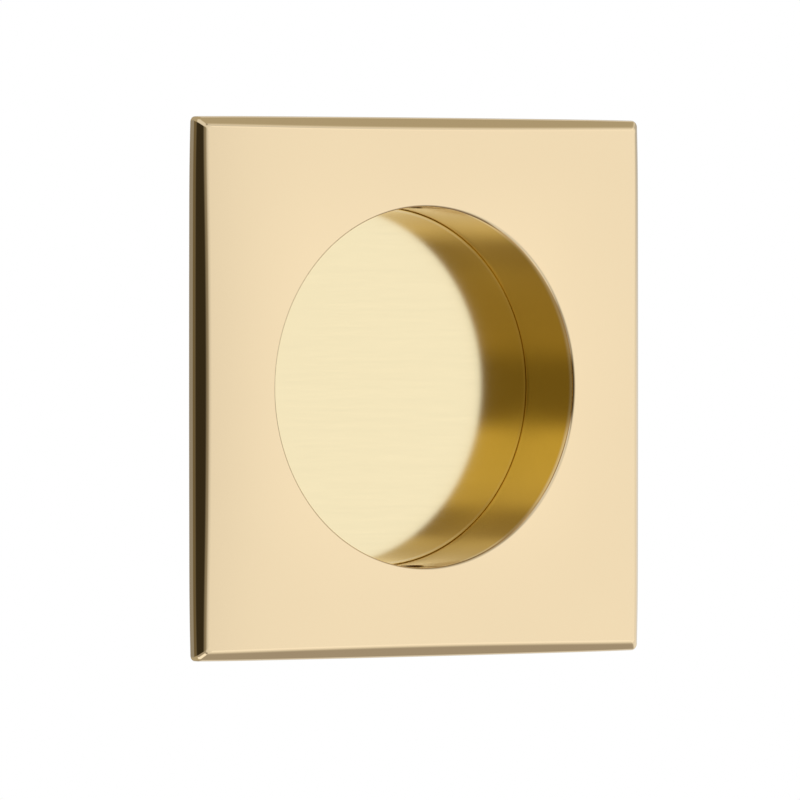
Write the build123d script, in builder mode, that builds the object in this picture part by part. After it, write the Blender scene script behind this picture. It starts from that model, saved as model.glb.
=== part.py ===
"""Square flush pull: a bevelled, slightly domed brass plate with a round cup for the fingers behind it.

The plate hangs upright. Its front faces -Y, +Z is up and the cup reaches back along +Y into the door.
The origin is on the cup's axis, level with the back of the plate, where the door's face comes. Millimetres.
"""

from build123d import *
import math
import os

# Plate
plate_side = 70.0            # across the middles of two opposite sides
side_bow = 0.08              # how far the middle of a side stands out past its ends
plate_corner_radius = 0.7
upright_edge = 1.45          # from the back of the plate to the bevel
face_height = 2.75           # from the back of the plate to the face, at the middle of a side
bevel_angle = 45.0           # between the bevel and the plate's back
dome_radius = 1700.0         # of the whole face, so shallow that it only shows in reflections
edge_softness = 0.8          # rounding where the bevel meets the upright edge and the face
back_edge_break = 0.25

# Cup
bore_radius = 23.4
cup_wall = 3.5
cup_floor = 1.7              # web of the body behind the disc
rim_softness = 0.2           # rounding where the face turns into the bore
cup_end_break = 1.0

# Disc that makes the floor of the cup
recess_depth = 7.8           # from the back of the plate to the disc's face
disc_thickness = 2.5
disc_gap = 0.05              # open line between the disc and the bore
disc_edge_break = 0.35

# Slanting holes through the cup's wall for the wood screws that fix the pull to its door
fixing_hole_radius = 1.65
fixing_head_radius = 2.8
fixing_head_angle = 90.0
fixing_slant = 22.0          # degrees back from straight out
fixing_height = 2.6          # from the back of the plate to where the hole's axis leaves the bore
fixing_sink = 0.15           # lowest part of the head's edge below the wall

# Screws that hold the disc from behind
disc_screw_spacing = 24.0
disc_screw_radius = 1.5
disc_screw_head_radius = 2.8
disc_screw_head_angle = 90.0
disc_screw_bite = 1.7        # thread inside the disc
disc_screw_clearance = 0.2   # radial, where the screw passes through the cup's floor
thread_clearance = 0.02      # radial, in the disc's own hole
head_gap = 0.05              # round the head in its countersink
head_sink = 0.1              # head below the cup's back
thread_run_out = 0.3         # blind hole past the screw's end
slot_width = 0.7
slot_depth = 0.8

# Places that follow from the sizes
half_side = plate_side / 2
bevel_rise = 2 * (face_height - upright_edge)        # the bevel is drawn past the face and cut back by it
bevel_inset = bevel_rise / math.tan(math.radians(bevel_angle))
bevel_corner_radius = plate_corner_radius / 2
dome_rise = dome_radius - math.sqrt(dome_radius**2 - half_side**2)
face_centre_height = face_height + dome_rise
pocket_depth = recess_depth + disc_thickness
cup_length = pocket_depth + cup_floor
cup_radius = bore_radius + cup_wall
fixing_reach = 2 * cup_wall                          # through the wall, whatever its thickness
mouth_radius = bore_radius + rim_softness            # to the middle of the rim's rounding, as is its depth
dome_centre_depth = dome_radius - face_centre_height
mouth_depth = dome_centre_depth - math.sqrt((dome_radius - rim_softness) ** 2 - mouth_radius**2)
back_of_cup = Plane(origin=(0, cup_length, 0), x_dir=(1, 0, 0), z_dir=(0, 1, 0))
back_of_disc = back_of_cup.offset(-cup_floor)
head_plane = back_of_cup.offset(-head_sink)
head_length = (disc_screw_head_radius - disc_screw_radius) / math.tan(math.radians(disc_screw_head_angle / 2))
screw_length = cup_floor - head_sink + disc_screw_bite


def bowed_square(half_width, corner_radius):
    """Outline of the plate in the open sketch: four barely bowed sides between rounded corners."""
    half_end = half_width - side_bow
    corners = [(-half_end, half_end), (half_end, half_end), (half_end, -half_end), (-half_end, -half_end)]
    with BuildLine() as sides:
        for index, start in enumerate(corners):
            SagittaArc(start, corners[(index + 1) % 4], side_bow)
    make_face(sides.edges())
    fillet(vertices(), corner_radius)


def bore_section():
    """Half section of the bore in the open sketch, its mouth rounded until it meets the dome."""
    mouth_slope = math.degrees(math.asin(mouth_radius / (dome_radius - rim_softness)))
    with BuildLine() as outline:
        floor_line = Line((0, pocket_depth), (bore_radius, pocket_depth))
        wall_line = Line(floor_line @ 1, (bore_radius, mouth_depth))
        rounding = CenterArc((mouth_radius, mouth_depth), rim_softness, 180, 90 + mouth_slope)
        front_line = Line(rounding @ 1, ((rounding @ 1).X, -2 * face_centre_height))
        Polyline(front_line @ 1, (0, -2 * face_centre_height), (0, pocket_depth))
    make_face(outline.edges())


def fixing_plane(side):
    """Seat of a fixing screw's head in the wall, side -1 below and 1 above, facing the screwdriver."""
    slant = math.radians(fixing_slant)
    towards_driver = Vector(0, -math.sin(slant), -side * math.cos(slant))
    mouth = Vector(0, fixing_height, side * bore_radius)
    sunk = fixing_head_radius * math.tan(slant) + fixing_sink / math.cos(slant)
    return Plane(origin=mouth - towards_driver * sunk, x_dir=(1, 0, 0), z_dir=towards_driver)


# Plate and cup, one piece
with BuildPart() as pull_body:
    with BuildSketch(Plane.XZ):
        bowed_square(half_side, plate_corner_radius)
    extrude(amount=upright_edge)
    with BuildSketch(Plane.XZ.offset(upright_edge)):
        bowed_square(half_side, plate_corner_radius)
    with BuildSketch(Plane.XZ.offset(upright_edge + bevel_rise)):
        bowed_square(half_side - bevel_inset, bevel_corner_radius)
    loft(ruled=True)
    with Locations((0, dome_centre_depth, 0)):
        Sphere(dome_radius, mode=Mode.INTERSECT)

    # The bevel's two edges, softened by polishing
    face_edges = faces().sort_by(Axis.Y)[0].edges()
    wall_edges = edges().filter_by_position(Axis.Y, -upright_edge, -upright_edge)
    fillet(face_edges + wall_edges, edge_softness)
    chamfer(faces().sort_by(Axis.Y)[-1].edges(), back_edge_break)

    # Cup behind the plate, and the bore through both down to the cup's floor
    with BuildSketch(Plane.XZ):
        Circle(cup_radius)
    extrude(amount=-cup_length)
    chamfer(faces().sort_by(Axis.Y)[-1].edges(), cup_end_break)
    with BuildSketch(Plane.XY):
        bore_section()
    revolve(axis=Axis.Y, mode=Mode.SUBTRACT)

    with Locations(fixing_plane(-1), fixing_plane(1)):
        CounterSinkHole(fixing_hole_radius, fixing_head_radius, fixing_reach, fixing_head_angle)

    with Locations(head_plane):
        with GridLocations(disc_screw_spacing, 0, 2, 1):
            CounterSinkHole(
                disc_screw_radius + disc_screw_clearance,
                disc_screw_head_radius + head_gap,
                cup_floor,
                disc_screw_head_angle,
            )
pull_body.part.label = "pull_body"

# Disc that makes the cup's floor, with blind tapped holes in its back
with BuildPart() as floor_disc:
    with BuildSketch(Plane.XZ.offset(-pocket_depth)):
        Circle(bore_radius - disc_gap)
    extrude(amount=disc_thickness)
    chamfer(faces().sort_by(Axis.Y)[0].edges(), disc_edge_break)
    with Locations(back_of_disc):
        with GridLocations(disc_screw_spacing, 0, 2, 1):
            Hole(disc_screw_radius + thread_clearance, disc_screw_bite + thread_run_out)
floor_disc.part.label = "floor_disc"

# Two slotted countersunk screws, driven from behind
with BuildPart() as disc_screws:
    with Locations(head_plane):
        with GridLocations(disc_screw_spacing, 0, 2, 1):
            Cylinder(disc_screw_radius, screw_length, align=(Align.CENTER, Align.CENTER, Align.MAX))
            Cone(
                disc_screw_radius,
                disc_screw_head_radius,
                head_length,
                align=(Align.CENTER, Align.CENTER, Align.MAX),
            )
            Box(
                2 * disc_screw_head_radius,
                slot_width,
                slot_depth,
                align=(Align.CENTER, Align.CENTER, Align.MAX),
                mode=Mode.SUBTRACT,
            )
disc_screws.part.label = "disc_screws"

os.makedirs("parts", exist_ok=True)
export_step(pull_body.part, "parts/pull_body.step")
export_step(floor_disc.part, "parts/floor_disc.step")
export_step(disc_screws.part, "parts/disc_screws.step")
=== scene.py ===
"""Looks of a square brass flush pull: polished plate, turned cup, satin disc, and the studio round it."""
import math

import bpy
import numpy as np
from mathutils import Matrix, Vector


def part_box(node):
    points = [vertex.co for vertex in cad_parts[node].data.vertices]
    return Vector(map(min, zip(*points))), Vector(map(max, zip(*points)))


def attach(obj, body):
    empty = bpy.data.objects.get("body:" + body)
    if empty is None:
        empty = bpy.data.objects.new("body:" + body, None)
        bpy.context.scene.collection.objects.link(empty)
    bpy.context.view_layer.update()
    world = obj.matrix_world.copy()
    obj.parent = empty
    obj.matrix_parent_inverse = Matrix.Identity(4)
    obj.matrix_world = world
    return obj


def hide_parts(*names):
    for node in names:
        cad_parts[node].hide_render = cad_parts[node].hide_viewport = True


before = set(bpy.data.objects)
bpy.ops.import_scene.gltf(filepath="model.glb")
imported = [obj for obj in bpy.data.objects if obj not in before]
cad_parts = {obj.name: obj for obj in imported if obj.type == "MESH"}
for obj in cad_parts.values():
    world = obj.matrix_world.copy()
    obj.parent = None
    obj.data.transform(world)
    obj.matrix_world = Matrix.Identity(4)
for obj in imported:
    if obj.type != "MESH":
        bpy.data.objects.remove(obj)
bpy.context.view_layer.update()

MM = 0.001

# Reach of the pull's pieces, in millimetres, read from the frame
_, body_high = (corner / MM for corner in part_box("pull_body"))
disc_low, disc_high = (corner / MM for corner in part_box("floor_disc"))
screws_low, screws_high = (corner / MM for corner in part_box("disc_screws"))
HALF_SIDE = round(body_high.x, 2)
CUP_LENGTH = body_high.y
DISC_FACE = disc_low.y
DISC_BACK = disc_high.y
DISC_RADIUS = round(disc_high.x, 2)
SCREW_TIP = screws_low.y
HEAD_PLANE = screws_high.y

# Plate, in millimetres
SIDE_BOW = 0.08
CORNER_RADIUS = 0.7
UPRIGHT_EDGE = 1.45
FACE_HEIGHT = 2.75
DOME_RADIUS = 1700.0
EDGE_SOFTNESS = 1.0         # rounding between the upright edge and the bevel, as buffed
BACK_EDGE_BREAK = 0.25
BUFFED_FROM = 23.0          # along a side from its middle, where buffing has begun to draw the outline in
BUFFED_CORNER = (0.15, 0.05)    # how far it is drawn in at the corner, across the pull and up it
BUFFED_CURVE = 2.5          # power by which that grows
FACE_SOFTNESS = 1.1         # rounding between the bevel and the face, as buffed
BEVEL_DRAWN = 2 * (FACE_HEIGHT - UPRIGHT_EDGE)
FACE_CENTRE_HEIGHT = FACE_HEIGHT + DOME_RADIUS - math.sqrt(DOME_RADIUS**2 - HALF_SIDE**2)

# Cup and bore, in millimetres
DISC_GAP = 0.05
CUP_WALL = 3.5
CUP_END_BREAK = 1.0
RIM_SOFTNESS = 0.35
BORE_RADIUS = DISC_RADIUS + DISC_GAP
CUP_RADIUS = BORE_RADIUS + CUP_WALL
SEAM = 0.012                # of the line left round the disc's edge
DISC_EDGE_SOFTNESS = 0.13
DISC_LIP = (0.35, 0.014)    # width and height of the faint lip that turning left inside its edge
DISC_BACK_BREAK = 0.1

# Slanting holes for the fixing screws
FIXING_RADIUS = 1.65
FIXING_HEAD_RADIUS = 2.8
FIXING_SLANT = math.radians(22.0)
FIXING_HEIGHT = 2.6
FIXING_SINK = 0.15
FIXING_TOOL = (4.0, 7.0)    # how far the tool that cuts one reaches above and below the head's seat

# Screws behind the disc
SCREW_SPACING = 24.0
SCREW_RADIUS = 1.5
SCREW_HEAD_RADIUS = 2.8
SCREW_CLEARANCE = 0.2
HEAD_GAP = 0.05
THREAD_CLEARANCE = 0.02
THREAD_RUN_OUT = 0.3
THREAD_PITCH = 0.5
THREAD_HEIGHT = 0.27
SLOT_WIDTH = 0.7
SLOT_DEPTH = 0.8
THREAD_CREST = 0.875        # share of the way up a thread's flank where its flat crest begins
SHARP_FROM = math.radians(28)
SCREW_TOOL = (1.0, 3.0)     # as FIXING_TOOL, for the countersinks in the cup's end

# Rows and columns of the meshes, and rounds in which places on them settle
SIDE_COLUMNS = 128
CORNER_COLUMNS = 10
ROUNDING_ROWS = 9
DOME_ROWS = 25
DISC_COLUMNS = 512
FIXING_COLUMNS = 96
HOLE_COLUMNS = 64
SCREW_COLUMNS = 72
SCREW_ROWS = 96
FLOOR_CORNERS = 128
BOW_ROUNDS = 4
MEETING_ROUNDS = 20

# Camera, at the photograph's angle
CAMERA_AZIMUTH = -34.5
CAMERA_ELEVATION = 0.647
CAMERA_DISTANCE = 1.3042
CAMERA_LENS = 451.9
CAMERA_SENSOR = 36.0
CAMERA_SHIFT = (-0.0168, -0.0161)

# Studio
FLOOR_BELOW = 25.0          # the pull is held by its plate, its lower edge this far above the floor
FLOOR_RADIUS = 3.0
NEAR_FLOOR = 0.05           # metres from the cup's axis, where the floor starts to fade to plain white
FAR_FLOOR = 0.11
PALE = (0.93, 0.93, 0.925)

# Seen in the brass: soft-edged panels by azimuth and elevation in degrees, each as its centre, half size,
# softness, brightness and tint
PLAIN = (1.0, 1.0, 1.0)
AMBER = (1.07, 0.985, 0.78)
WARM = (1.06, 0.98, 0.89)
BROWN = (1.25, 1.0, 0.55)
ROOM = (AMBER, 0.44)
PANELS = (
    ("floor below", 90, -62, 91, 24, 20, 8, 0.38, WARM),
    ("right white wall", 60, 0, 62, 36, 12, 18, 1.0, PLAIN),
    ("far side of the wall", 98, -5, 40, 31, 14, 8, 0.88, PLAIN),
    ("right end of the wall", 130, -12, 16, 42, 10, 8, 0.76, PLAIN),
    ("shade above its end", 115, 14.85, 38, 14.5, 14, 1.5, 0.52, PLAIN),
    ("lamp above", 38, 12, 9, 6, 4, 4, 1.06, PLAIN),
    ("lamp below", 38, -13, 9, 6, 4, 4, 1.10, PLAIN),
    ("edge of the light", 10, 0, 21.2, 34, 0.9, 8, 0.84, PLAIN),
    ("hot spot", 34.55, -0.6, 2.3, 2.1, 0.9, 0.9, 1.08, PLAIN),
    ("upper left softbox", -42, 38, 32, 24, 8, 5, 0.8, PLAIN),
    ("lower left floor", -40, -33, 34, 20, 10, 10, 0.38, WARM),
    ("lamp on the floor", -28, -58, 44, 17, 8, 4, 1.1, PLAIN),
    ("front floor edge", 2, -38, 13, 12, 8, 8, 0.33, WARM),
    ("gap above the white wall", 7, 36, 11, 10, 6, 6, 0.35, WARM),
    ("ceiling light", 28, 28, 10, 9, 5, 5, 0.66, PLAIN),
    ("light behind the pull", 138, 42, 17, 12, 6, 4, 0.8, PLAIN),
    ("behind the left edge", -152, 0, 18, 20, 6, 8, 0.36, PLAIN),
    ("behind the flag", -108, 0, 32, 14, 14, 5, 0.13, BROWN),
    ("camera side", -45, 0, 40, 12, 28, 6, 0.26, AMBER),
    ("black flag", -66, 0, 24, 14, 14, 5, 0.031, BROWN),
)

# Colours of the brass, as it reflects white light; the last is brass darkened as painted shade for inside
# the fixing screws' holes
POLISHED = (0.875, 0.705, 0.455)
BORE = (0.71, 0.468, 0.06)
SATIN = (0.895, 0.775, 0.50)
TURNED = (0.80, 0.62, 0.33)
HOLE_SHADE = (0.28, 0.17, 0.05)

# Marks in the brass, as the scales of their noises per metre
RINGS = 5200.0
COARSE_RINGS = 900.0
HAZE = 55.0
CLOUD = 24.0
WIPES = (700.0, 700.0, 9000.0)
GRAIN = (240.0, 240.0, 9000.0)
WIDE_GRAIN = (60.0, 60.0, 1600.0)
SCREW_RINGS = 6000.0
SCREW_HAZE = 500.0

# Roughness of each finish where its marks are faintest
POLISHED_ROUGH = 0.055
BORE_ROUGH = 0.07
TURNED_ROUGH = 0.22
RAW_ROUGH = 0.25
SATIN_ROUGH = 0.11
SCREW_ROUGH = 0.18

# Depth of the marks, and where the mouth's polish gives way to the bore's satin, in millimetres
BODY_MARKS = 0.0004
DISC_MARKS = 0.0005
SCREW_MARKS = 0.0012
POLISHED_MOUTH = (-2.5, -1.8)

FRONT = np.array((0.0, -1.0, 0.0))
BACK = -FRONT
DIAGONAL = math.sqrt(0.5)   # sine and cosine of 45 degrees


# Surfaces laid in rows


class Skin:
    """A closed surface laid row by row over the same columns, which keeps the true normal of each corner.

    The first and the last row shrink to a point each.
    """

    def __init__(self):
        self.rows = []
        self.strips = []

    def patch(self, points, normals):
        """Adds rows of points and their normals. The first row is where the patch before it ended."""
        if not self.rows:
            self.rows.append(points[0])
        for row, near, far in zip(points[1:], normals[:-1], normals[1:]):
            self.strips.append((near, far))
            self.rows.append(row)

    def corners(self):
        """Places, faces as lists of places' numbers, and each face corner's normal."""
        columns = len(self.rows[0])
        places = np.concatenate([self.rows[0][:1], *self.rows[1:-1], self.rows[-1][:1]])
        last = len(self.strips) - 1
        here = np.arange(columns)
        there = (here + 1) % columns
        faces, normals = [], []
        for index, (near, far) in enumerate(self.strips):
            below = 1 + (index - 1) * columns
            above = below + columns
            if index == 0:
                quads = np.stack([np.zeros(columns, int), above + there, above + here], 1)
                kept = np.stack([near[here], far[there], far[here]], 1)
            elif index == last:
                quads = np.stack([below + here, below + there, np.full(columns, above)], 1)
                kept = np.stack([near[here], near[there], far[here]], 1)
            else:
                quads = np.stack([below + here, below + there, above + there, above + here], 1)
                kept = np.stack([near[here], near[there], far[there], far[here]], 1)
            faces.extend(quads.tolist())
            normals.append(kept.reshape(-1, 3))
        return places, faces, np.concatenate(normals)


def laid_object(name, skins, hollow=False):
    """An object of one or more skins, in metres. A hollow one is a cutting tool, its normals inwards."""
    places, faces, normals = [], [], []
    count = 0
    for skin in skins:
        skin_places, skin_faces, skin_normals = skin.corners()
        # One face halfway along the skin tells whether they all turn the way their normals say
        first = skin_faces[len(skin_faces) // 2]
        edges = skin_places[first[1]] - skin_places[first[0]], skin_places[first[2]] - skin_places[first[1]]
        start = sum(len(face) for face in skin_faces[: len(skin_faces) // 2])
        along_normal = float(np.cross(*edges) @ skin_normals[start]) > 0
        if along_normal == hollow:
            ends = np.cumsum([len(face) for face in skin_faces])
            skin_normals = np.concatenate([part[::-1] for part in np.split(skin_normals, ends[:-1])])
            skin_faces = [face[::-1] for face in skin_faces]
        faces += [[corner + count for corner in face] for face in skin_faces]
        places.append(skin_places)
        normals.append(skin_normals)
        count += len(skin_places)
    mesh = bpy.data.meshes.new(name)
    mesh.from_pydata((np.concatenate(places) * MM).tolist(), [], faces)
    facing = mesh.attributes.new("facing", "FLOAT_VECTOR", "CORNER")
    facing.data.foreach_set("vector", np.concatenate(normals).astype(np.float32).ravel())
    piece = bpy.data.objects.new(name, mesh)
    bpy.context.scene.collection.objects.link(piece)
    return piece


def cut_and_finish(piece, tool):
    """Cuts the tool out of the piece, and turns the kept normals into the mesh's own."""
    cut = piece.modifiers.new("holes", "BOOLEAN")
    cut.operation = "DIFFERENCE"
    cut.solver = "EXACT"
    cut.object = tool
    # Only faces that the cut left with five corners or more are split
    split = piece.modifiers.new("triangles", "TRIANGULATE")
    split.min_vertices = 5
    mesh = bpy.data.meshes.new_from_object(piece.evaluated_get(bpy.context.evaluated_depsgraph_get()))
    piece.modifiers.clear()
    piece.data = mesh
    bpy.data.objects.remove(tool)
    facing = mesh.attributes["facing"]
    normals = np.empty(3 * len(facing.data), np.float32)
    facing.data.foreach_get("vector", normals)
    mesh.attributes.remove(facing)
    mesh.shade_smooth()
    mesh.normals_split_custom_set(normals.reshape(-1, 3))
    return piece


def lathe(profile, columns, place=None):
    """A skin turned about a local z axis. A patch of its profile lists (radius, height, across, along)."""
    angles = np.linspace(0, 2 * math.pi, columns, endpoint=False)
    wheel = np.stack([np.cos(angles), np.sin(angles), np.zeros(columns)], 1)
    axis = np.array((0.0, 0.0, 1.0))
    turn = np.array((place or Matrix()).to_3x3())
    origin = np.array((place or Matrix()).to_translation())
    skin = Skin()
    for patch in profile:
        skin.patch([(wheel * radius + axis * height) @ turn.T + origin for radius, height, _, _ in patch],
                   [(wheel * across + axis * along) @ turn.T for _, _, across, along in patch])
    return skin


def flat(start, end, steps, across, along):
    """A straight patch of a profile from one (radius, height) to another."""
    return [(*(np.array(start) + (np.array(end) - start) * step / steps), across, along)
            for step in range(steps + 1)]


def rounded(centre, radius, start, end, steps):
    """An arc of a profile. Its angles are from the axis's own direction outwards."""
    angles = np.linspace(start, end, steps + 1)
    return [(centre[0] + radius * math.sin(a), centre[1] + radius * math.cos(a), math.sin(a), math.cos(a))
            for a in angles]


def countersink(head_radius, hole_radius, reach, columns, place):
    """The space of a countersunk hole: its head's seat level with the local origin, the driver above it."""
    above, below = reach
    cone = head_radius - hole_radius
    return lathe([
        flat((0, above), (head_radius, above), 2, 0, -1),
        flat((head_radius, above), (head_radius, 0), 4, -1, 0),
        flat((head_radius, 0), (hole_radius, -cone), 3, -DIAGONAL, DIAGONAL),
        flat((hole_radius, -cone), (hole_radius, -below), 4, -1, 0),
        flat((hole_radius, -below), (0, -below), 2, 0, 1),
    ], columns, place)


def facing_back(x, y):
    """A place on the pull with its local z along the cup's axis, out of the back."""
    return Matrix.Translation((x, y, 0)) @ Matrix.Rotation(math.radians(-90), 4, "X")


def fixing_place(side):
    """Seat of a fixing screw's head in the wall, side -1 below and 1 above, local z towards the driver."""
    driver = Vector((0, -math.sin(FIXING_SLANT), -side * math.cos(FIXING_SLANT)))
    mouth = Vector((0, FIXING_HEIGHT, side * BORE_RADIUS))
    sunk = FIXING_HEAD_RADIUS * math.tan(FIXING_SLANT) + FIXING_SINK / math.cos(FIXING_SLANT)
    return Matrix.Translation(mouth - driver * sunk) @ driver.to_track_quat("Z", "Y").to_matrix().to_4x4()


# Plate and cup


def bowed_square(half, corner):
    """Points and outward normals of the plate's outline: four barely bowed sides between rounded corners."""
    end = half - SIDE_BOW
    bow_radius = (end**2 + SIDE_BOW**2) / (2 * SIDE_BOW)
    bow_centre = half - bow_radius
    gap = -bow_centre
    middle = (math.sqrt(2 * (bow_radius - corner) ** 2 - gap**2) - gap) / 2
    lean = math.atan2(middle, middle - bow_centre)
    reach = math.atan2(middle + corner * math.sin(lean), middle + corner * math.cos(lean))
    polar = np.linspace(-reach, reach, SIDE_COLUMNS + 1)
    z = half * np.tan(polar)
    for _ in range(BOW_ROUNDS):
        z = (bow_centre + np.sqrt(bow_radius**2 - z**2)) * np.tan(polar)
    x = bow_centre + np.sqrt(bow_radius**2 - z**2)
    side = np.stack([x, z], 1)
    side_normals = np.stack([x - bow_centre, z], 1) / bow_radius
    turn = np.linspace(lean, math.pi / 2 - lean, CORNER_COLUMNS + 1)[1:-1]
    corner_normals = np.stack([np.cos(turn), np.sin(turn)], 1)
    points = np.concatenate([side, middle + corner * corner_normals])
    normals = np.concatenate([side_normals, corner_normals])
    quarter = np.array([[0.0, 1.0], [-1.0, 0.0]])
    all_points, all_normals = [], []
    for _ in range(4):
        all_points.append(points)
        all_normals.append(normals)
        points, normals = points @ quarter, normals @ quarter
    return buffed(np.concatenate(all_points), np.concatenate(all_normals))


def buffed(points, normals):
    """Draws points in towards the corners, and leans their normals to suit."""
    share = np.clip((np.abs(points) - BUFFED_FROM) / (HALF_SIDE - BUFFED_FROM), 0, 1)
    amount = np.array(BUFFED_CORNER)[::-1] / HALF_SIDE
    pull = 1 - amount * share**BUFFED_CURVE
    steepness = BUFFED_CURVE * share ** (BUFFED_CURVE - 1) / (HALF_SIDE - BUFFED_FROM)
    slope = amount * steepness * np.sign(points)
    leaned = normals * pull + points[:, ::-1] * slope * normals[:, ::-1]
    return points * pull[:, ::-1], unit(leaned)


def dome_height(flat_points):
    """How far in front of the plate's back the domed face is."""
    return FACE_CENTRE_HEIGHT - DOME_RADIUS + np.sqrt(DOME_RADIUS**2 - (flat_points**2).sum(1))


def upright(flat_points, height):
    """Places in the pull's frame from places across the plate and heights in front of its back."""
    return np.stack([flat_points[:, 0], -height * np.ones(len(flat_points)), flat_points[:, 1]], 1)


def unit(vectors):
    return vectors / np.linalg.norm(vectors, axis=1, keepdims=True)


def body_skin():
    """Plate and cup in one skin, from the middle of the bore's floor over the face to the cup's end."""
    outer, outward = bowed_square(HALF_SIDE, CORNER_RADIUS)
    inner, _ = bowed_square(HALF_SIDE - BEVEL_DRAWN, CORNER_RADIUS / 2)
    slide = (inner - outer) / BEVEL_DRAWN
    spread = -(slide * outward).sum(1)
    out = upright(outward, 0)
    along = np.stack([-outward[:, 1], outward[:, 0]], 1)

    # Where the bevel meets the dome, and how steep each is there, station by station
    inset = np.full(len(outer), FACE_HEIGHT - UPRIGHT_EDGE)
    for _ in range(MEETING_ROUNDS):
        inset = dome_height(outer + slide * inset[:, None]) - UPRIGHT_EDGE
    meeting = outer + slide * inset[:, None]
    bevel_slope = np.arctan(1 / spread)
    depth = np.sqrt(DOME_RADIUS**2 - (meeting**2).sum(1))
    dome_slope = np.arctan((meeting * outward).sum(1) / depth)
    dome_drift = upright(along, 0) * ((meeting * along).sum(1) / DOME_RADIUS)[:, None]

    def bevel_rows(across, height):
        return upright(outer + slide * (across / spread)[:, None], height)

    def tilted(angle, drift=0.0):
        return unit(out * np.sin(angle)[:, None] + FRONT * np.cos(angle)[:, None] + dome_drift * drift)

    # Rounding between the bevel and the face, from the bevel in
    softness = FACE_SOFTNESS
    reach = softness * np.tan((bevel_slope - dome_slope) / 2)
    start_across = inset * spread - reach * np.cos(bevel_slope)
    start_height = UPRIGHT_EDGE + inset - reach * np.sin(bevel_slope)
    face_rows, face_normals = [], []
    for share in np.linspace(0, 1, ROUNDING_ROWS):
        angle = bevel_slope + (dome_slope - bevel_slope) * share
        across = start_across + softness * (np.sin(bevel_slope) - np.sin(angle))
        height = start_height + softness * (np.cos(angle) - np.cos(bevel_slope))
        face_rows.append(bevel_rows(across, height))
        face_normals.append(tilted(angle, share))
    edge_of_face = face_rows[-1]

    # Rounding between the upright edge and the bevel, from the back
    softness = EDGE_SOFTNESS
    turn = math.pi / 2 - bevel_slope
    low_reach = softness * np.tan(turn / 2)
    wall_rows, wall_normals = [], []
    for share in np.linspace(0, 1, ROUNDING_ROWS):
        angle = turn * share
        across = softness * (1 - np.cos(angle))
        height = UPRIGHT_EDGE - low_reach + softness * np.sin(angle)
        wall_rows.append(bevel_rows(across, height))
        wall_normals.append(unit(out * np.cos(angle)[:, None] + FRONT * np.sin(angle)[:, None]))
    bevel_start, bevel_end = wall_rows[-1], face_rows[0]

    # Round parts use the same columns, by the polar angle of the face's edge
    polar = np.arctan2(edge_of_face[:, 2], edge_of_face[:, 0])
    wheel = np.stack([np.cos(polar), np.zeros(len(polar)), np.sin(polar)], 1)

    def turned(across, forward):
        """Places or directions, so far out from the cup's axis and so far forward."""
        return wheel * across + FRONT * forward

    def turned_patch(profile):
        """Adds a patch of a profile, as lathe does, over the plate's columns."""
        skin.patch([turned(radius, height) for radius, height, _, _ in profile],
                   [turned(across, forward) for _, _, across, forward in profile])

    mouth_radius = BORE_RADIUS + RIM_SOFTNESS
    lip_dome = DOME_RADIUS - RIM_SOFTNESS
    mouth_height = FACE_CENTRE_HEIGHT - DOME_RADIUS + math.sqrt(lip_dome**2 - mouth_radius**2)
    mouth_slope = math.asin(mouth_radius / lip_dome)

    skin = Skin()
    floor = -DISC_BACK
    turned_patch(flat((0, floor), (BORE_RADIUS, floor), 6, 0, 1))
    turned_patch(flat((BORE_RADIUS, floor), (BORE_RADIUS, mouth_height), 18, -1, 0))
    lip = rounded((mouth_radius, mouth_height), RIM_SOFTNESS, -math.pi / 2, mouth_slope, ROUNDING_ROWS - 1)
    turned_patch(lip)

    # The domed face, from the rim out to the rounding
    rim = wheel * (mouth_radius + RIM_SOFTNESS * math.sin(mouth_slope))
    dome_rows, dome_normals = [], []
    for share in np.linspace(0, 1, DOME_ROWS):
        place = (rim + (edge_of_face - rim) * share)[:, [0, 2]]
        height = dome_height(place) if share < 1 else -edge_of_face[:, 1]
        dome_rows.append(upright(place, height))
        tilt = upright(place, 0) / DOME_RADIUS
        dome_normals.append(unit(tilt + FRONT * np.sqrt(1 - (tilt**2).sum(1))[:, None]))
    skin.patch(dome_rows, dome_normals)

    # Over the rounding, down the bevel and the upright edge to the back
    skin.patch(face_rows[::-1], face_normals[::-1])
    bevel_normals = tilted(bevel_slope)
    skin.patch([bevel_end + (bevel_start - bevel_end) * share for share in (0, 0.5, 1)], [bevel_normals] * 3)
    skin.patch(wall_rows[::-1], wall_normals[::-1])
    skin.patch([wall_rows[0], upright(outer, BACK_EDGE_BREAK)], [out, out])
    break_normals = unit(out + BACK)
    back_edge = upright(outer - outward * BACK_EDGE_BREAK, 0)
    skin.patch([upright(outer, BACK_EDGE_BREAK), back_edge], [break_normals] * 2)

    # The plate's back, and the cup's outside and end
    backwards = np.tile(BACK, (len(outer), 1))
    seat = turned(CUP_RADIUS, 0)
    skin.patch([back_edge + (seat - back_edge) * share for share in np.linspace(0, 1, 5)], [backwards] * 5)
    shoulder = CUP_LENGTH - CUP_END_BREAK
    end_radius = CUP_RADIUS - CUP_END_BREAK
    turned_patch(flat((CUP_RADIUS, 0), (CUP_RADIUS, -shoulder), 10, 1, 0))
    turned_patch(flat((CUP_RADIUS, -shoulder), (end_radius, -CUP_LENGTH), 1, DIAGONAL, -DIAGONAL))
    turned_patch(flat((end_radius, -CUP_LENGTH), (0, -CUP_LENGTH), 8, 0, -1))
    return skin


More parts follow.
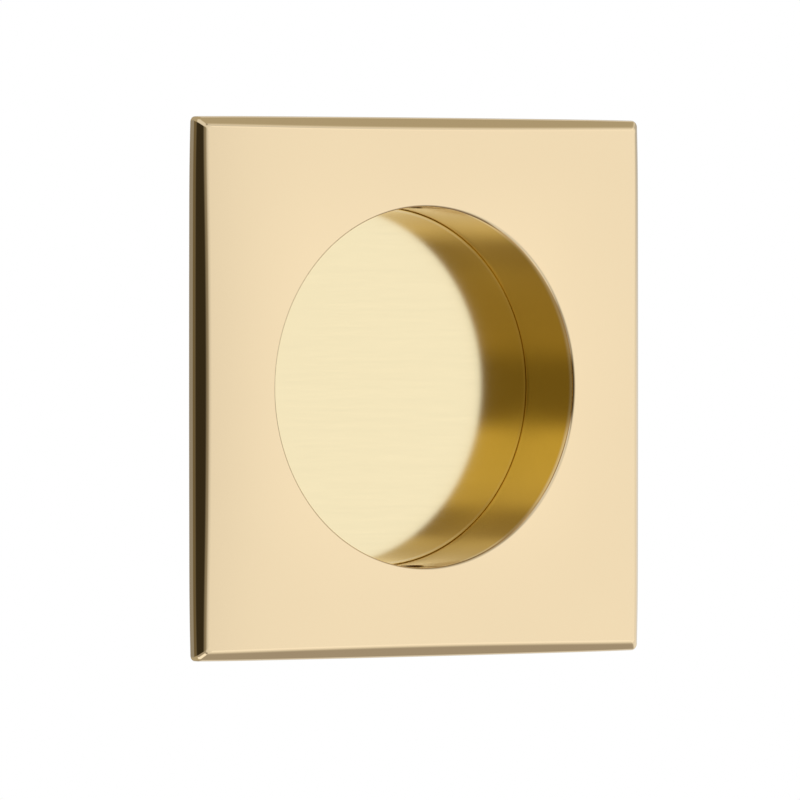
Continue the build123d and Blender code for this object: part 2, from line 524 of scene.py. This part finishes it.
def make_body():
    """The plate and cup with its two slanting holes and the two countersinks in its end."""
    holes = [countersink(FIXING_HEAD_RADIUS, FIXING_RADIUS, FIXING_TOOL, FIXING_COLUMNS, fixing_place(side))
             for side in (-1, 1)]
    head, hole = SCREW_HEAD_RADIUS + HEAD_GAP, SCREW_RADIUS + SCREW_CLEARANCE
    for side in (-1, 1):
        place = facing_back(side * SCREW_SPACING / 2, HEAD_PLANE)
        holes.append(countersink(head, hole, SCREW_TOOL, HOLE_COLUMNS, place))
    body = laid_object("plate_and_cup", [body_skin()])
    return cut_and_finish(body, laid_object("body_holes", holes, hollow=True))


def make_disc():
    """The cup's floor: a turned disc with a softened front edge and two blind tapped holes in its back."""
    soft, small = DISC_EDGE_SOFTNESS, DISC_BACK_BREAK
    thickness = DISC_BACK - DISC_FACE
    edge = BORE_RADIUS - SEAM
    width, height = DISC_LIP
    lip = []
    for share in np.linspace(0, 1, ROUNDING_ROWS):
        rise = 6 * share * (1 - share) * height / width
        steep = math.hypot(1, rise)
        lip.append((edge - soft - width * (1 - share), thickness + height * share**2 * (3 - 2 * share),
                    -rise / steep, 1 / steep))
    crest = thickness + height - soft
    disc = lathe([
        flat((0, thickness), lip[0][:2], 12, 0, 1),
        lip,
        rounded((edge - soft, crest), soft, 0, math.pi / 2, ROUNDING_ROWS - 1),
        flat((edge, crest), (edge, small), 4, 1, 0),
        flat((edge, small), (edge - small, 0), 1, DIAGONAL, -DIAGONAL),
        flat((edge - small, 0), (0, 0), 8, 0, -1),
    ], DISC_COLUMNS, Matrix.Translation((0, DISC_BACK, 0)) @ Matrix.Rotation(math.radians(90), 4, "X"))
    hole = SCREW_RADIUS + THREAD_CLEARANCE
    bottom = DISC_BACK - SCREW_TIP + THREAD_RUN_OUT
    drills = [lathe([
        flat((0, 1), (hole, 1), 2, 0, -1),
        flat((hole, 1), (hole, -bottom), 4, -1, 0),
        flat((hole, -bottom), (0, -bottom), 2, 0, 1),
    ], HOLE_COLUMNS, facing_back(side * SCREW_SPACING / 2, DISC_BACK)) for side in (-1, 1)]
    return cut_and_finish(laid_object("satin_disc", [disc]), laid_object("disc_holes", drills, hollow=True))


# Node trees


class Value:
    """A node's output that takes part in sums. Each operator adds a Math node to its tree."""

    def __init__(self, nodes, socket):
        self.nodes = nodes
        self.socket = socket

    def math(self, operation, *others):
        inputs = dict(enumerate((self, *others)))
        return self.nodes.add("ShaderNodeMath", {"operation": operation}, inputs)

    def __add__(self, other):
        return self.math("ADD", other)

    __radd__ = __add__

    def __mul__(self, other):
        return self.math("MULTIPLY", other)

    def __sub__(self, other):
        return self.math("SUBTRACT", other)

    def __rsub__(self, other):
        return (self * -1.0).math("ADD", other)

    def __truediv__(self, other):
        return self.math("DIVIDE", other)

    def __pow__(self, other):
        return self.math("POWER", other)


class Nodes:
    """A node tree of a material, the world or a shape, filled by one method."""

    def __init__(self, tree):
        self.tree = tree
        tree.nodes.clear()

    def add(self, kind, settings=None, inputs=None, output=0):
        """Adds a node: its settings first, then its sockets' values or links. Gives back one output."""
        node = self.tree.nodes.new(kind)
        for name, setting in (settings or {}).items():
            setattr(node, name, setting)
        for name, value in (inputs or {}).items():
            if isinstance(value, Value):
                self.tree.links.new(value.socket, node.inputs[name])
            else:
                node.inputs[name].default_value = value
        return Value(self, node.outputs[output]) if len(node.outputs) else None

    def position(self):
        """The Object coordinates and their x, y and z in metres."""
        place = self.add("ShaderNodeTexCoord", output="Object")
        return (place, *self.split(place))

    def split(self, vector):
        return [self.add("ShaderNodeSeparateXYZ", inputs={0: vector}, output=i) for i in range(3)]

    def step(self, value, start, end):
        """0 before start, 1 after end, smooth between them."""
        settings = {"interpolation_type": "SMOOTHSTEP", "clamp": True}
        return self.add("ShaderNodeMapRange", settings, {0: value, 1: start, 2: end})

    def noise(self, place, scale, detail=2.0):
        inputs = {"Vector": place, "Scale": scale, "Detail": detail}
        return self.add("ShaderNodeTexNoise", inputs=inputs)

    def stretched(self, place, scales):
        """Coordinates multiplied axis by axis, for a pattern drawn out along one of them."""
        return self.add("ShaderNodeVectorMath", {"operation": "MULTIPLY"}, {0: place, 1: scales})

    def mix_colour(self, factor, first, second):
        settings = {"data_type": "RGBA"}
        inputs = {"Factor": factor, 6: first, 7: second}
        return self.add("ShaderNodeMix", settings, inputs, output=2)


# Screws, made by a tree of geometry nodes


def screw_tree():
    """Two slotted countersunk screws in a row along x, their heads' tops level with the origin, facing +y.

    Gives back the tree and its sizes in millimetres.
    """
    tree = bpy.data.node_groups.new("slotted_screws", "GeometryNodeTree")
    sizes = {
        "Spacing": SCREW_SPACING,
        "Length": HEAD_PLANE - SCREW_TIP,
        "Radius": SCREW_RADIUS,
        "Head Radius": SCREW_HEAD_RADIUS,
        "Pitch": THREAD_PITCH,
        "Thread Height": THREAD_HEIGHT,
        "Slot Width": SLOT_WIDTH,
        "Slot Depth": SLOT_DEPTH,
    }
    for name in sizes:
        tree.interface.new_socket(name, in_out="INPUT", socket_type="NodeSocketFloat")
    tree.interface.new_socket("Material", in_out="INPUT", socket_type="NodeSocketMaterial")
    tree.interface.new_socket("Geometry", in_out="OUTPUT", socket_type="NodeSocketGeometry")
    nodes = Nodes(tree)
    size = {name: nodes.add("NodeGroupInput", output=name) for name in (*sizes, "Material")}

    # A tube of unit radius, pressed to the screw's outline at each height and angle
    tube = nodes.add("GeometryNodeMeshCylinder", inputs={
        "Vertices": SCREW_COLUMNS, "Side Segments": SCREW_ROWS, "Fill Segments": 6, "Radius": 1.0,
        "Depth": size["Length"]})
    x, y, z = nodes.split(nodes.add("GeometryNodeInputPosition"))
    below = size["Length"] * 0.5 - z
    turn = y.math("ARCTAN2", x) / (2 * math.pi)
    phase = (below / size["Pitch"] + turn).math("FRACT")
    tooth = (phase * 2.0 - 1.0).math("ABSOLUTE")
    taper = (size["Length"] - below).math("MINIMUM", size["Thread Height"])
    flank = tooth.math("MINIMUM", THREAD_CREST) * taper / THREAD_CREST
    thread = size["Radius"] - size["Thread Height"] + flank
    head = size["Head Radius"] - below
    outline = thread.math("MAXIMUM", head)
    spread = nodes.add("ShaderNodeCombineXYZ", inputs={0: x * outline, 1: y * outline, 2: below * -1.0})
    shaped = nodes.add("GeometryNodeSetPosition", inputs={"Geometry": tube, "Position": spread})

    # The slot across its head
    slot_size = nodes.add("ShaderNodeCombineXYZ", inputs={
        0: size["Head Radius"] * 3.0, 1: size["Slot Width"], 2: size["Slot Depth"] * 2.0})
    cutter = nodes.add("GeometryNodeMeshCube", inputs={"Size": slot_size})
    slotted = nodes.add("GeometryNodeMeshBoolean", {"operation": "DIFFERENCE", "solver": "EXACT"},
                        {"Mesh 1": shaped, "Mesh 2": cutter})

    # One at each end of the row
    first = nodes.add("ShaderNodeCombineXYZ", inputs={0: size["Spacing"] * -0.5})
    stride = nodes.add("ShaderNodeCombineXYZ", inputs={0: size["Spacing"]})
    row = nodes.add("GeometryNodeMeshLine", inputs={"Count": 2, "Start Location": first, "Offset": stride})
    placed = nodes.add("GeometryNodeInstanceOnPoints", inputs={
        "Points": row, "Instance": slotted, "Rotation": (math.radians(-90), 0.0, 0.0)})
    real = nodes.add("GeometryNodeRealizeInstances", inputs={"Geometry": placed})
    finished = nodes.add("GeometryNodeSetMaterial", inputs={"Geometry": real, "Material": size["Material"]})
    nodes.add("NodeGroupOutput", inputs={"Geometry": finished})
    return tree, sizes


def make_screws(material):
    """The two screws that hold the disc, seated in the countersinks of the cup's end."""
    tree, sizes = screw_tree()
    screws = bpy.data.objects.new("slotted_screws", bpy.data.meshes.new("slotted_screws"))
    bpy.context.scene.collection.objects.link(screws)
    shape = screws.modifiers.new("shape", "NODES")
    shape.node_group = tree
    for item in tree.interface.items_tree:
        if item.in_out == "INPUT":
            shape[item.identifier] = material if item.name == "Material" else sizes[item.name] * MM
    mesh = bpy.data.meshes.new_from_object(screws.evaluated_get(bpy.context.evaluated_depsgraph_get()))
    screws.modifiers.clear()
    screws.data = mesh
    mesh.transform(Matrix.Translation((0, HEAD_PLANE * MM, 0)))
    mesh.shade_smooth()
    mesh.set_sharp_from_angle(angle=SHARP_FROM)
    return screws


# Finishes


def opaque(colour):
    return (*colour, 1.0)


def shade(colour, factor):
    return opaque([channel * factor for channel in colour])


def varied(nodes, factor, colour, low, high):
    """A colour that a factor of 0 to 1 takes from one shade of it to another."""
    return nodes.mix_colour(factor, shade(colour, low), shade(colour, high))


def brass_material(name, paint):
    """A new material whose paint function gives the values of the shader's sockets."""
    material = bpy.data.materials.new(name)
    material.use_nodes = True
    nodes = Nodes(material.node_tree)
    shader = nodes.add("ShaderNodeBsdfPrincipled", inputs={"Metallic": 1.0, **paint(nodes)})
    nodes.add("ShaderNodeOutputMaterial", inputs={"Surface": shader})
    return material


def bump(nodes, height, depth):
    """A Normal from a height of 0 to 1, depth millimetres high."""
    return nodes.add("ShaderNodeBump", inputs={"Height": height, "Strength": 1.0, "Distance": depth * MM})


def paint_body(nodes):
    """Polished face, satin bore, turned outside and back, and rougher raw metal inside the screw holes, its
    colour darkened as painted shade.
    """
    place, x, y, z = nodes.position()
    radius = (x * x + z * z) ** 0.5

    def past(value, start, end):
        """0 up to start and 1 from end, both in millimetres."""
        return nodes.step(value, start * MM, end * MM)

    # Where each finish is, by depth and by distance from the cup's axis
    at_end = past(y, DISC_BACK + 0.5, DISC_BACK + 0.8)
    in_bore = (1.0 - past(radius, BORE_RADIUS + 0.02, BORE_RADIUS + 0.15)) * (1.0 - at_end)
    in_bore = in_bore * past(y, *POLISHED_MOUTH)
    # Inside the slanting holes for the fixing screws, where painted shade darkens the colour
    in_hole = past(radius, BORE_RADIUS + 0.03, BORE_RADIUS + 0.2) * past(y, 0.1, 0.3)
    in_hole = in_hole * (1.0 - past(radius, CUP_RADIUS - 0.1, CUP_RADIUS - 0.03))
    in_hole = in_hole * (1.0 - past(y, DISC_BACK - 1.0, DISC_BACK - 0.8))
    behind = past(y, -0.1, -0.02) * past(radius, BORE_RADIUS + 0.1, BORE_RADIUS + 0.2)
    behind = behind.math("MAXIMUM", at_end)

    along = nodes.add("ShaderNodeCombineXYZ", inputs={0: radius + y, 1: 0.0, 2: 0.0})
    rings = nodes.noise(along, RINGS, 3.0)
    coarse_rings = nodes.noise(along, COARSE_RINGS)
    haze = nodes.noise(place, HAZE, 3.0)
    cloud = nodes.noise(place, CLOUD)
    wipes = nodes.noise(nodes.stretched(place, WIPES), 1.0)

    metal = varied(nodes, haze, POLISHED, 0.985, 1.015)
    metal = nodes.mix_colour(in_bore, metal, varied(nodes, rings, BORE, 0.93, 1.07))
    metal = nodes.mix_colour(behind, metal, varied(nodes, rings, TURNED, 0.93, 1.05))
    # Painted shade: the walls of the fixing holes take a darkened brass
    metal = nodes.mix_colour(in_hole, metal, varied(nodes, haze, HOLE_SHADE, 0.85, 1.15))

    on_face = (1.0 - in_bore) * (1.0 - behind)
    roughness = (POLISHED_ROUGH + haze * 0.015 + wipes * 0.012) * on_face
    roughness = roughness + (BORE_ROUGH + rings * 0.05 + past(y, -1.5, DISC_FACE) * 0.11) * in_bore
    roughness = roughness + (TURNED_ROUGH + rings * 0.12 + cloud * 0.05) * behind + in_hole * RAW_ROUGH
    height = rings * in_bore * 0.3 + (rings * 0.6 + coarse_rings * 0.4) * behind + wipes * on_face * 0.03
    return {"Base Color": metal, "Roughness": roughness, "Normal": bump(nodes, height, BODY_MARKS)}


def paint_disc(nodes):
    """Satin, brushed from side to side."""
    place = nodes.add("ShaderNodeTexCoord", output="Object")
    grain = nodes.noise(nodes.stretched(place, GRAIN), 1.0, 3.0)
    wide_grain = nodes.noise(nodes.stretched(place, WIDE_GRAIN), 1.0)
    metal = varied(nodes, wide_grain, SATIN, 0.975, 1.025)
    metal = nodes.mix_colour(grain * 0.5, metal, shade(SATIN, 0.96))
    roughness = SATIN_ROUGH + grain * 0.05
    height = grain * 0.7 + wide_grain * 0.3
    return {"Base Color": metal, "Roughness": roughness, "Normal": bump(nodes, height, DISC_MARKS)}


def paint_screws(nodes):
    """Turned heads with fine rings about each screw's own axis."""
    place, x, y, z = nodes.position()
    from_axis = x.math("ABSOLUTE") - SCREW_SPACING / 2 * MM
    radius = (from_axis * from_axis + z * z) ** 0.5
    rings = nodes.noise(nodes.add("ShaderNodeCombineXYZ", inputs={0: radius, 1: y, 2: 0.0}), SCREW_RINGS)
    haze = nodes.noise(place, SCREW_HAZE)
    metal = varied(nodes, haze, TURNED, 0.9, 1.05)
    roughness = SCREW_ROUGH + rings * 0.12 + haze * 0.05
    return {"Base Color": metal, "Roughness": roughness, "Normal": bump(nodes, rings, SCREW_MARKS)}


# Studio


def seen_by_camera(nodes):
    return nodes.add("ShaderNodeLightPath", output="Is Camera Ray")


def set_world():
    """White behind the pull, and round it the panels that the brass shows."""
    world = bpy.data.worlds.new("studio")
    world.use_nodes = True
    bpy.context.scene.world = world
    nodes = Nodes(world.node_tree)
    x, y, z = nodes.split(nodes.add("ShaderNodeTexCoord", output="Generated"))
    azimuth = x.math("ARCTAN2", y * -1.0) * math.degrees(1)
    elevation = z.math("ARCSINE") * math.degrees(1)
    seen = shade(*ROOM)
    for _, centre, height, half_width, half_height, side_softness, end_softness, level, tint in PANELS:
        across = (azimuth - centre).math("ABSOLUTE")
        up = (elevation - height).math("ABSOLUTE")
        inside = 1.0 - nodes.step(across, half_width - side_softness, half_width + side_softness)
        inside = inside * (1.0 - nodes.step(up, half_height - end_softness, half_height + end_softness))
        seen = nodes.mix_colour(inside, seen, shade(tint, level))
    diffuse = nodes.add("ShaderNodeLightPath", output="Is Diffuse Ray")
    plain = (seen_by_camera(nodes) + diffuse).math("MINIMUM", 1.0)
    seen = nodes.mix_colour(plain, seen, opaque(PLAIN))
    background = nodes.add("ShaderNodeBackground", inputs={"Color": seen, "Strength": 1.0})
    nodes.add("ShaderNodeOutputWorld", inputs={"Surface": background})


def make_floor():
    """A pale floor that fades to plain white away from the pull, and can't be seen from below."""
    bpy.ops.mesh.primitive_circle_add(vertices=FLOOR_CORNERS, radius=FLOOR_RADIUS, fill_type="NGON",
                                      location=(0, 0, (-HALF_SIDE - FLOOR_BELOW) * MM))
    floor = bpy.context.object
    floor.name = "floor"
    floor.visible_glossy = False
    material = bpy.data.materials.new("pale_floor")
    material.use_nodes = True
    nodes = Nodes(material.node_tree)
    _, x, y, _ = nodes.position()
    far = nodes.step((x * x + y * y) ** 0.5, NEAR_FLOOR, FAR_FLOOR)
    paint = nodes.add("ShaderNodeBsdfDiffuse", inputs={"Color": opaque(PALE)})
    white = nodes.add("ShaderNodeEmission", inputs={"Color": opaque(PLAIN), "Strength": 1.0})
    mixed = nodes.add("ShaderNodeMixShader", inputs={0: far * seen_by_camera(nodes), 1: paint, 2: white})
    below = nodes.add("ShaderNodeNewGeometry", output="Backfacing")
    clear = nodes.add("ShaderNodeBsdfTransparent")
    one_sided = nodes.add("ShaderNodeMixShader", inputs={0: below, 1: mixed, 2: clear})
    nodes.add("ShaderNodeOutputMaterial", inputs={"Surface": one_sided})
    floor.data.materials.append(material)


def make_camera():
    azimuth, elevation = math.radians(CAMERA_AZIMUTH), math.radians(CAMERA_ELEVATION)
    level = math.cos(elevation)
    away = Vector((math.sin(azimuth) * level, -math.cos(azimuth) * level, math.sin(elevation)))
    camera = bpy.data.objects.new("camera", bpy.data.cameras.new("camera"))
    bpy.context.scene.collection.objects.link(camera)
    camera.location = away * CAMERA_DISTANCE
    camera.rotation_euler = (-away).to_track_quat("-Z", "Y").to_euler()
    camera.data.lens = CAMERA_LENS
    camera.data.sensor_width = CAMERA_SENSOR
    camera.data.shift_x, camera.data.shift_y = CAMERA_SHIFT
    bpy.context.scene.camera = camera


def stand_for(piece, node, material=None):
    """Puts a finished piece in the place of a CAD node."""
    if material:
        piece.data.materials.clear()
        piece.data.materials.append(material)
    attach(piece, "root")
    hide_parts(node)


make_camera()
set_world()
make_floor()
stand_for(make_body(), "pull_body", brass_material("polished_brass", paint_body))
stand_for(make_disc(), "floor_disc", brass_material("satin_brass", paint_disc))
stand_for(make_screws(brass_material("screw_brass", paint_screws)), "disc_screws")

bpy.context.scene.view_settings.view_transform = "Standard"
